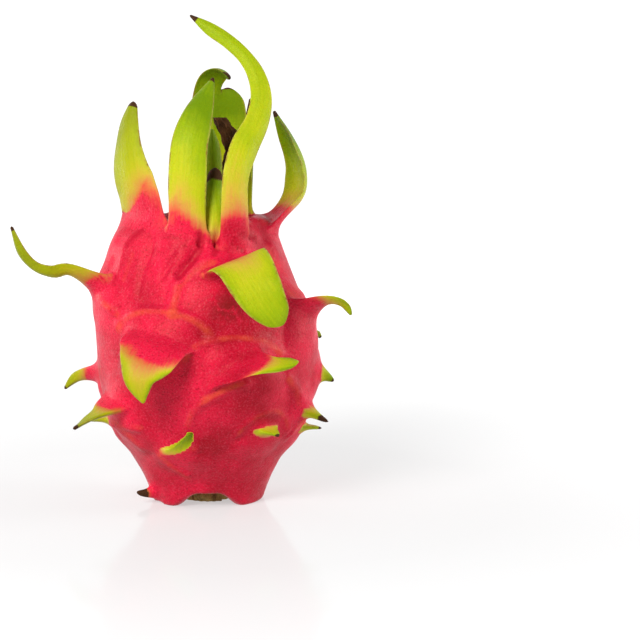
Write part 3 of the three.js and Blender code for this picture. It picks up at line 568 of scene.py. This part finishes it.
def lofted(name, rings, part_number=0):
    """A closed mesh from rings of points, in quads, with a fan on the middle of the first and last ring."""
    count, sides = rings.shape[:2]
    points = np.vstack([rings.reshape(-1, 3), rings[0].mean(axis=0), rings[-1].mean(axis=0)]) * MM
    i, j = np.meshgrid(np.arange(count - 1), np.arange(sides), indexing="ij")
    after = (j + 1) % sides
    quads = np.stack(
        [i * sides + j, i * sides + after, (i + 1) * sides + after, (i + 1) * sides + j], axis=-1)
    j = np.arange(sides)
    after = (j + 1) % sides
    first, last = np.full(sides, count * sides), np.full(sides, count * sides + 1)
    fans = np.vstack([np.stack([first, after, j], axis=1),
                      np.stack([last, (count - 1) * sides + j, (count - 1) * sides + after], axis=1)])
    mesh = bpy.data.meshes.new(name)
    mesh.from_pydata(points.tolist(), [], quads.reshape(-1, 4).tolist() + fans.tolist())
    number = mesh.attributes.new("part_number", "INT", "FACE")
    number.data.foreach_set("value", np.full(len(mesh.polygons), part_number, np.int32))
    obj = bpy.data.objects.new(name, mesh)
    bpy.context.scene.collection.objects.link(obj)
    return obj


def joined(body, adds, cuts):
    """One closed mesh: the body with the adds united to it and the cuts taken out. The objects go."""
    group = bpy.data.collections.new("bracts")
    bpy.context.scene.collection.children.link(group)
    for obj in adds:
        bpy.context.scene.collection.objects.unlink(obj)
        group.objects.link(obj)
    union = body.modifiers.new("union", "BOOLEAN")
    union.operation, union.solver = "UNION", "MANIFOLD"
    union.operand_type, union.collection = "COLLECTION", group
    for cut in cuts:
        step = body.modifiers.new("cut", "BOOLEAN")
        step.operation, step.object, step.solver = "DIFFERENCE", cut, "MANIFOLD"
    graph = bpy.context.evaluated_depsgraph_get()
    mesh = bpy.data.meshes.new_from_object(body.evaluated_get(graph))
    for obj in [body, *adds, *cuts]:
        bpy.data.objects.remove(obj)
    bpy.data.collections.remove(group)
    return mesh


def mesh_arrays(mesh):
    """Points in millimetres, the edges' two ends, and the highest and lowest part number round each
    vertex."""
    points = np.empty(len(mesh.vertices) * 3)
    mesh.vertices.foreach_get("co", points)
    edges = np.empty(len(mesh.edges) * 2, np.int32)
    mesh.edges.foreach_get("vertices", edges)
    corner = np.empty(len(mesh.loops), np.int32)
    mesh.loops.foreach_get("vertex_index", corner)
    sizes = np.empty(len(mesh.polygons), np.int32)
    mesh.polygons.foreach_get("loop_total", sizes)
    number = np.empty(len(mesh.polygons), np.int32)
    mesh.attributes["part_number"].data.foreach_get("value", number)
    number = np.repeat(number, sizes)
    high = np.zeros(len(mesh.vertices), np.int32)
    low = np.full(len(mesh.vertices), number.max() + 1, np.int32)
    np.maximum.at(high, corner, number)
    np.minimum.at(low, corner, number)
    return points.reshape(-1, 3) / MM, edges.reshape(-1, 2), high, low


def soften_joins(points, edges, join):
    """Rounds the lines where bracts meet the body: near them each point moves towards the mean of its
    neighbours, with a weight that falls from 1 on the line to 0 some edges away, in several rounds."""
    weight = join.astype(float)
    for _ in range(JOIN_REACH):
        spread = weight.copy()
        np.maximum.at(spread, edges[:, 0], weight[edges[:, 1]] - 1 / JOIN_REACH)
        np.maximum.at(spread, edges[:, 1], weight[edges[:, 0]] - 1 / JOIN_REACH)
        weight = spread
    a, b = edges[(weight[edges] > 0).any(axis=1)].T
    ends, others = np.concatenate([a, b]), np.concatenate([b, a])
    count = np.bincount(ends, minlength=len(points))[:, None]
    for _ in range(JOIN_ROUNDS):
        total = np.stack([np.bincount(ends, points[others, k], len(points)) for k in range(3)], axis=1)
        towards = total / np.maximum(count, 1) - points
        points = points + JOIN_PULL * weight[:, None] * towards * (count > 0)
    return points


def green_share(bract, share, across):
    """Green grows along the middle by the power 0.55, from where it starts to where it is full, and a little
    more towards the tip. Before that it runs up the margins, by the cube of the place across."""
    start, full = bract["ripe"]
    middle = np.clip((share - start + bract.get("slant", 0) * across) / (full - start), 0, 1)
    edge = np.abs(across) ** 3 * smoothstep((share - start + 0.16) / 0.3)
    margin = bract.get("margin", MARGIN_GREEN) * edge * (1 - middle)
    tip = TIP_GREEN * middle * smoothstep(2 * share - 1)
    return np.clip(bract.get("most", MOST_GREEN) * middle**0.55 + margin + tip, 0, 1)


def bract_marks(points, high, bracts):
    """For each vertex of a bract: green, the share of dried brown at the tip, the line on the margin, and
    its place along and across the rib for the fibres. All are 0 on the body."""
    marks = {name: np.zeros(len(points)) for name in ("green", "dry", "margin", "along", "across")}
    shares = np.linspace(0, 1, SPINE_SAMPLES)
    for number, bract in enumerate(bracts, start=1):
        mine = np.flatnonzero(high == number)
        if not len(mine):
            continue
        rib, half, _, side, length = bract_frame(bract, shares)
        off = points[mine, None] - rib[None]
        nearest = np.argmin(np.einsum("ijk,ijk->ij", off, off), axis=1)
        off = off[np.arange(len(mine)), nearest]
        sideways = np.einsum("ij,ij->i", off, side[nearest])
        across = np.clip(sideways / np.maximum(half[nearest], 0.5), -1, 1)
        share = shares[nearest]
        marks["green"][mine] = green_share(bract, share, across)
        dry = bract.get("dry", 0.0)
        marks["dry"][mine] = smoothstep((share - 1 + 1.5 * dry) / max(dry, 0.01)) if dry else 0
        ripening = smoothstep((share - bract["ripe"][0]) / 0.15)
        marks["margin"][mine] = smoothstep((np.abs(across) - 0.9) / 0.08) * ripening
        marks["along"][mine] = share * length
        marks["across"][mine] = across * half[nearest]
    return marks


def skin_marks(points, high, fruit, bracts):
    """For each vertex of the body, how much it stands on an arch or ridge, and how far up a cushion it is,
    from the same relief as its shape."""
    _, z_row, _, _, length_row = body_rows(fruit, LOOKUP_ROWS)
    outside = slice(np.argmin(z_row[: len(z_row) // 2]), -TOP_ROWS)
    x, y, z = points.T
    x = x - centre_at(z, fruit)
    length = np.interp(z, z_row[outside], length_row[outside])
    _, lines, cushions = body_relief(np.arctan2(x, -y), np.hypot(x, y), z, length, fruit, bracts)
    ridge = np.clip(lines, -RIDGE_LIMIT, RIDGE_LIMIT) * (high == 0)
    return {"ridge": ridge, "raised": np.where(high == 0, cushions / 4, 1)}


class NodeSheet:
    """Short calls that add shader nodes to a material and join them."""

    def __init__(self, name, roughness):
        self.material = bpy.data.materials.new(name)
        self.material.use_nodes = True
        self.tree = self.material.node_tree
        self.shader = self.tree.nodes["Principled BSDF"]
        self.shader.inputs["Roughness"].default_value = roughness
        self.place = self.add("ShaderNodeTexCoord").outputs["Object"]

    def add(self, kind, inputs=(), **settings):
        """A node, with its settings made and its sockets fed."""
        node = self.tree.nodes.new(kind)
        for key, value in settings.items():
            setattr(node, key, value)
        for key, value in dict(inputs).items():
            self.feed(node.inputs[key], value)
        return node

    def feed(self, socket, value):
        """Joins the socket to another, or sets it to a constant."""
        if isinstance(value, bpy.types.NodeSocket):
            self.tree.links.new(value, socket)
        else:
            socket.default_value = value

    def set(self, **values):
        """Constants on the shader's sockets, by their names with underscores for spaces."""
        for name, value in values.items():
            self.shader.inputs[name.replace("_", " ")].default_value = value

    def distance_to(self, point):
        """In metres, to a point in millimetres."""
        point = tuple(MM * v for v in point)
        node = self.add("ShaderNodeVectorMath", {0: self.place, 1: point}, operation="DISTANCE")
        return node.outputs["Value"]

    def noise(self, scale, detail=3.0, roughness=0.55, place=None):
        """Cloudy noise on the object's own coordinates, or on another place."""
        return self.add("ShaderNodeTexNoise", {
            "Vector": place or self.place, "Scale": scale, "Detail": detail, "Roughness": roughness,
        }).outputs["Fac"]

    def spots(self, scale):
        """Distance to the nearest of scattered points."""
        return self.add("ShaderNodeTexVoronoi", {"Vector": self.place, "Scale": scale}).outputs["Distance"]

    def attribute(self, name):
        """A number that the mesh holds at its vertices."""
        return self.add("ShaderNodeAttribute", attribute_name=name).outputs["Fac"]

    def math(self, operation, a, b=0.0, c=0.0, clamp=False):
        """A sum, product or the like of sockets and numbers."""
        return self.add("ShaderNodeMath", {0: a, 1: b, 2: c}, operation=operation, use_clamp=clamp).outputs[0]

    def span(self, value, low, high, to_low=0.0, to_high=1.0):
        """The value from low to high, stretched to run from one number to another and held beyond."""
        return self.add("ShaderNodeMapRange", {
            "Value": value, "From Min": low, "From Max": high, "To Min": to_low, "To Max": to_high,
        }).outputs["Result"]

    def mix(self, share, a, b):
        """Colour a, with a share of colour b over it."""
        node = self.add("ShaderNodeMix", data_type="RGBA")
        for socket, value in ((node.inputs[0], share), (node.inputs[6], a), (node.inputs[7], b)):
            self.feed(socket, (*value, 1) if isinstance(value, tuple) and len(value) == 3 else value)
        return node.outputs[2]

    def ramp(self, value, stops):
        """A colour ramp through the stops, each a place and a colour."""
        node = self.add("ShaderNodeValToRGB", {"Fac": value})
        elements = node.color_ramp.elements
        while len(elements) < len(stops):
            elements.new(0.5)
        for element, (place, colour) in zip(elements, stops):
            element.position = place
            element.color = (*colour, 1)
        return node.outputs["Color"]

    def paint(self, colour):
        self.feed(self.shader.inputs["Base Color"], colour)

    def roughen(self, height, strength, distance):
        """A bump on the shader's normal."""
        inputs = {"Height": height, "Strength": strength, "Distance": distance}
        self.feed(self.shader.inputs["Normal"], self.add("ShaderNodeBump", inputs).outputs["Normal"])


def skin_colour(sheet, fruit):
    """Red with painted shade in the valleys between cushions and in patches under the hanging bracts, darker
    blotches at random, pale specks and dark pits, orange on the ridges, painted shade of deep red in the
    creases, and one brown bruise."""
    deep = tuple(fruit.deep)
    # Painted shade: the skin turns towards deep red in the valleys between the cushions.
    shade = sheet.span(sheet.attribute("raised"), 0.75, 0.05, 0.0, 0.3)
    # Painted shade: patches of deep red under the hanging bracts, where their shadows fall.
    for middle, reach, strength in PAINTED_SHADE_PATCHES:
        near = sheet.span(sheet.distance_to(middle), reach * MM, 0.3 * reach * MM, 0.0, strength)
        shade = sheet.math("ADD", shade, near)
    blotches = sheet.span(sheet.noise(SCALES["blotches"], 5.0, 0.6), 0.38, 0.7, -0.15, 0.6)
    # The painted shade and the blotches at random together mix the rind towards deep red.
    skin = sheet.mix(sheet.math("ADD", shade, blotches, clamp=True), tuple(fruit.pink), deep)

    specks = sheet.span(sheet.noise(SCALES["specks"], 2.0, 0.6), 0.5, 0.72, 0.0, 0.22)
    dots = sheet.span(sheet.spots(SCALES["dots"]), 0.35, 0.12, 0.0, 0.1)
    skin = sheet.mix(sheet.math("ADD", specks, dots), skin, tuple(fruit.bloom))
    pits = sheet.span(sheet.noise(SCALES["pits"], 3.0, 0.6), 0.54, 0.68, 0.0, 0.75)
    skin = sheet.mix(pits, skin, deep)

    ridge = sheet.attribute("ridge")
    broken = sheet.span(sheet.noise(SCALES["ridges"], 4.0), 0.35, 0.65)
    warm = sheet.math("MULTIPLY", sheet.span(ridge, 0.4, RIDGE_LIMIT, 0.0, 0.5), broken)
    skin = sheet.mix(warm, skin, RIDGE_ORANGE)
    # Painted shade: deep red in the creases.
    skin = sheet.mix(sheet.span(ridge, -0.2, -1.1, 0.0, 0.65), skin, CREASE_SHADE_RED)
    spotty = sheet.span(sheet.noise(SCALES["bruise"], 4.0, 0.7), 0.4, 0.56)
    near = sheet.span(sheet.distance_to(BRUISE), BRUISE_REACH * MM, BRUISE_CORE * MM, 0.0, 0.8)
    return sheet.mix(sheet.math("MULTIPLY", spotty, near), skin, BRUISE_BROWN)


def turning_share(sheet, fibres):
    """How far a bract has turned from red to green, uneven in clouds and along its fibres."""
    raw = sheet.attribute("green")
    wander = sheet.math("MULTIPLY_ADD", sheet.noise(SCALES["turning"], 5.0, 0.65), 0.34, -0.17)
    fine = sheet.math("MULTIPLY_ADD", fibres, 0.22, -0.11)
    uneven = sheet.math("MULTIPLY", sheet.math("ADD", wander, fine), sheet.span(raw, 0.0, 0.06))
    return sheet.math("ADD", raw, uneven)


def leaf_colour(sheet, fruit, turning, fibres):
    """From red through orange and yellow to green, more olive on the left, with greener fibres."""
    green = tuple(fruit.green)
    leaf = sheet.ramp(turning, [*LEAF_STOPS, (1.0, green)])
    x = sheet.add("ShaderNodeSeparateXYZ", {"Vector": sheet.place}).outputs["X"]
    leaf = sheet.mix(sheet.span(x, OLIVE_FROM, OLIVE_FULL, 0.0, 0.45), leaf, OLIVE)
    return sheet.mix(sheet.span(fibres, 0.42, 0.72, 0.0, 0.22), leaf, sheet.mix(0.5, leaf, green))


def edged(sheet, colour):
    """The colour with a yellowish line on the bracts' margins, brown in places."""
    rim = sheet.attribute("margin")
    patchy = sheet.span(sheet.noise(SCALES["rim"], 4.0, 0.7), 0.47, 0.6)
    colour = sheet.mix(sheet.math("MULTIPLY", rim, 0.3), colour, RIM_YELLOW)
    return sheet.mix(sheet.math("MULTIPLY", sheet.math("MULTIPLY", rim, patchy), 0.75), colour, RIM_BROWN)


def rind_material(fruit):
    """Waxy red rind that turns through yellow to green on the bracts, with dried brown tips, a fine grain
    and a soft gloss."""
    sheet = NodeSheet("rind", 0.4)
    stretched = sheet.math("MULTIPLY", sheet.attribute("along"), FIBRE_STRETCH)
    along_fibres = sheet.add("ShaderNodeCombineXYZ", {"X": sheet.attribute("across"), "Y": stretched})
    fibres = sheet.noise(FIBRE_SCALE, 4.0, 0.65, along_fibres.outputs["Vector"])
    turning = turning_share(sheet, fibres)
    leaf = leaf_colour(sheet, fruit, turning, fibres)
    colour = sheet.mix(sheet.span(turning, 0.01, 0.12), skin_colour(sheet, fruit), leaf)
    colour = edged(sheet, colour)
    ragged = sheet.math("MULTIPLY_ADD", sheet.noise(SCALES["tip"], 4.0), 0.7, -0.35)
    brown = sheet.span(sheet.math("ADD", sheet.attribute("dry"), ragged), 0.42, 0.62)
    sheet.paint(sheet.mix(brown, colour, tuple(fruit.dried)))

    rough = sheet.span(sheet.noise(SCALES["gloss"], 3.0), 0.3, 0.7, 0.32, 0.5)
    sheet.feed(sheet.shader.inputs["Roughness"], sheet.math("MULTIPLY_ADD", brown, 0.35, rough, clamp=True))
    grain = sheet.math("ADD", sheet.noise(SCALES["grain"], 3.0), sheet.noise(SCALES["dents"], 2.0))
    sheet.roughen(sheet.math("ADD", grain, sheet.math("MULTIPLY", fibres, 0.9)), 0.5, 0.0005)
    sheet.set(Specular_IOR_Level=0.13, Specular_Tint=(1.0, 0.72, 0.5, 1))
    sheet.set(Subsurface_Weight=0.08, Subsurface_Radius=(1.0, 0.35, 0.2), Subsurface_Scale=0.003)
    sheet.set(Sheen_Weight=0.02, Sheen_Roughness=0.35, Sheen_Tint=(1.0, 0.78, 0.82, 1))
    return sheet.material


def woody_material(name, browns, streak_scale):
    """Dry, fibrous wood-like skin with long streaks along Z, dark cracks and a coarse bump."""
    light, dark = browns
    sheet = NodeSheet(name, 0.85)
    drawn_out = sheet.add("ShaderNodeMapping", {"Vector": sheet.place, "Scale": (1.0, 1.0, 0.3)})
    streaks = sheet.noise(streak_scale, 6.0, 0.7, drawn_out.outputs["Vector"])
    cracks = sheet.span(sheet.spots(streak_scale * 0.9), 0.0, 0.35)
    colour = sheet.ramp(streaks, [(0.3, dark), (0.5, light), (0.72, tuple(1.5 * c for c in light))])
    in_cracks = sheet.math("MULTIPLY", sheet.math("SUBTRACT", 1.0, cracks), 0.7)
    sheet.paint(sheet.mix(in_cracks, colour, dark))
    sheet.set(Specular_IOR_Level=0.1)
    sheet.roughen(sheet.math("ADD", streaks, sheet.math("MULTIPLY", cracks, 0.5)), 0.9, 0.0008)
    return sheet.material


def sweep_material():
    """Glossy pale floor that glows more the further it is from the fruit, so that it fades to white."""
    sheet = NodeSheet("sweep", 0.12)
    sheet.set(Base_Color=(0.3, 0.3, 0.3, 1), Emission_Color=(1, 1, 1, 1), Specular_IOR_Level=0.02)
    glow = sheet.span(sheet.distance_to((0, 0, 0)), GLOW_NEAR, GLOW_FAR, GLOW_LOW, GLOW_HIGH)
    sheet.feed(sheet.shader.inputs["Emission Strength"], glow)
    return sheet.material


def smooth_faces(mesh):
    mesh.polygons.foreach_set("use_smooth", np.ones(len(mesh.polygons), bool))


def finish_piece(obj, node, material):
    """Smooth faces and the material, then what the frame needs to know of the piece."""
    smooth_faces(obj.data)
    obj.data.materials.clear()
    obj.data.materials.append(material)
    obj.data.update()
    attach(obj, "root")
    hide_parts(node)


class FRUIT_OT_rind(bpy.types.Operator):
    """Build the rind: the body with all its bracts grown into it"""

    bl_idname = "fruit.rind"
    bl_label = "Rind and bracts"

    def execute(self, context):
        fruit = context.scene.fruit_settings
        bracts = all_bracts(fruit)
        phases = np.random.default_rng(SEED).uniform(0, 2 * np.pi, len(bracts))
        body = lofted("body", body_grid(fruit, bracts))
        adds = [lofted(f"bract {k}", bract_grid(bract, phases[k]), k + 1) for k, bract in enumerate(bracts)]
        stub_rings = stalk_grid([SOCKET_START, *STUB], *STUB_SOCKET_GRID, **STUB_FOLDS, grow=STUB_ROOM)
        flower_rings = stalk_grid(FLOWER, *FLOWER_SOCKET_GRID, **FLOWER_FOLDS, grow=FLOWER_ROOM)
        mesh = joined(body, adds, [lofted("stub socket", stub_rings), lofted("flower socket", flower_rings)])
        mesh.name = "fruit_rind"
        points, edges, high, low = mesh_arrays(mesh)
        points = soften_joins(points, edges, high != low)
        marks = bract_marks(points, high, bracts)
        marks |= skin_marks(points, high, fruit, bracts)
        points, creases = crease_roots(points, high, marks["along"], fruit)
        marks["ridge"] += np.clip(creases, -RIDGE_LIMIT, RIDGE_LIMIT)
        mesh.vertices.foreach_set("co", (points * MM).ravel())
        for name, values in marks.items():
            attribute = mesh.attributes.new(name, "FLOAT", "POINT")
            attribute.data.foreach_set("value", values.astype(np.float32))
        mesh.validate()
        obj = bpy.data.objects.new("fruit_rind", mesh)
        context.scene.collection.objects.link(obj)
        finish_piece(obj, "fruit", rind_material(fruit))
        return {"FINISHED"}


class FRUIT_OT_stub(bpy.types.Operator):
    """Build the woody stalk stub that the fruit stands on"""

    bl_idname = "fruit.stub"
    bl_label = "Stalk stub"

    def execute(self, context):
        obj = lofted("stalk_stub", stalk_grid(STUB, *STUB_GRID, **STUB_FOLDS, seed=3))
        finish_piece(obj, "stem_stub", woody_material("stalk", STALK_BROWNS, STALK_STREAKS))
        return {"FINISHED"}


class FRUIT_OT_flower(bpy.types.Operator):
    """Build the dried flower tube in the crown"""

    bl_idname = "fruit.flower"
    bl_label = "Dried flower"

    def execute(self, context):
        obj = lofted("dried_flower", stalk_grid(FLOWER, *FLOWER_GRID, **FLOWER_FOLDS, seed=5))
        material = woody_material("dried flower", FLOWER_BROWNS, FLOWER_STREAKS)
        finish_piece(obj, "flower_remnant", material)
        return {"FINISHED"}


def area_light(name, place, size, power):
    """A square, soft light that looks at the lit point."""
    light = bpy.data.lights.new(name, "AREA")
    light.shape, light.size, light.energy = "SQUARE", size, power
    obj = bpy.data.objects.new(name, light)
    obj.location = place
    obj.rotation_euler = (Vector(LIT_POINT) - Vector(place)).to_track_quat("-Z", "Y").to_euler()
    bpy.context.scene.collection.objects.link(obj)


def make_sweep():
    """A pale floor that curves up by a quarter circle into a backdrop, as a strip carried along X."""
    turn = np.linspace(0, np.pi / 2, SWEEP_STEPS)
    curve_y, curve_z = SWEEP_RADIUS * np.sin(turn), SWEEP_RADIUS * (1 - np.cos(turn))
    y = np.concatenate([[SWEEP_FRONT], SWEEP_BACK + curve_y, [SWEEP_BACK + SWEEP_RADIUS]])
    z = np.concatenate([[0], curve_z, [SWEEP_TOP]])
    x = np.array([-SWEEP_SIDE, SWEEP_SIDE])
    points = np.stack([np.tile(x, len(y)), np.repeat(y, 2), np.repeat(z, 2)], axis=1)
    i = 2 * np.arange(len(y) - 1)
    mesh = bpy.data.meshes.new("sweep")
    mesh.from_pydata(points.tolist(), [], np.stack([i, i + 1, i + 3, i + 2], axis=1).tolist())
    smooth_faces(mesh)
    mesh.materials.append(sweep_material())
    obj = bpy.data.objects.new("sweep", mesh)
    bpy.context.scene.collection.objects.link(obj)


def make_camera(studio):
    """Looks at the middle of the view from the front, tilted down by the elevation."""
    down = studio.elevation
    look = Vector((0, np.cos(down), -np.sin(down)))
    target = Vector((VIEW_RIGHT, VIEW_UP * np.sin(down), VIEW_UP * np.cos(down)))
    camera = bpy.data.cameras.new("camera")
    camera.lens = camera.sensor_width * studio.distance / studio.view_width
    camera.clip_start = 0.01
    obj = bpy.data.objects.new("camera", camera)
    obj.location = target - look * studio.distance
    obj.rotation_euler = look.to_track_quat("-Z", "Y").to_euler()
    bpy.context.scene.collection.objects.link(obj)
    bpy.context.scene.camera = obj


class FRUIT_OT_studio(bpy.types.Operator):
    """Set up the pale floor, the soft light and the camera"""

    bl_idname = "fruit.studio"
    bl_label = "Studio"

    def execute(self, context):
        context.scene.view_settings.view_transform = "Standard"
        make_sweep()
        world = bpy.data.worlds.new("studio")
        world.use_nodes = True
        background = world.node_tree.nodes["Background"]
        background.inputs["Color"].default_value = (1, 1, 1, 1)
        background.inputs["Strength"].default_value = WORLD_STRENGTH
        context.scene.world = world
        for light in LIGHTS:
            area_light(*light)
        make_camera(context.scene.studio_settings)
        return {"FINISHED"}


class FRUIT_PT_panel(bpy.types.Panel):
    """The pieces and their sizes"""

    bl_label = "Dragon fruit"
    bl_idname = "FRUIT_PT_panel"
    bl_space_type = "VIEW_3D"
    bl_region_type = "UI"
    bl_category = "Fruit"

    def draw(self, context):
        for settings in (context.scene.fruit_settings, context.scene.studio_settings):
            for name in settings.__annotations__:
                self.layout.prop(settings, name)
        for operator in OPERATORS:
            self.layout.operator(operator.bl_idname)


OPERATORS = (FRUIT_OT_rind, FRUIT_OT_stub, FRUIT_OT_flower, FRUIT_OT_studio)
CLASSES = (FruitSettings, StudioSettings, *OPERATORS, FRUIT_PT_panel)


def register():
    for cls in CLASSES:
        bpy.utils.register_class(cls)
    bpy.types.Scene.fruit_settings = bpy.props.PointerProperty(type=FruitSettings)
    bpy.types.Scene.studio_settings = bpy.props.PointerProperty(type=StudioSettings)


def unregister():
    del bpy.types.Scene.studio_settings
    del bpy.types.Scene.fruit_settings
    for cls in reversed(CLASSES):
        bpy.utils.unregister_class(cls)


def main():
    register()
    bpy.ops.fruit.rind()
    bpy.ops.fruit.stub()
    bpy.ops.fruit.flower()
    bpy.ops.fruit.studio()


if __name__ == "__main__":
    main()
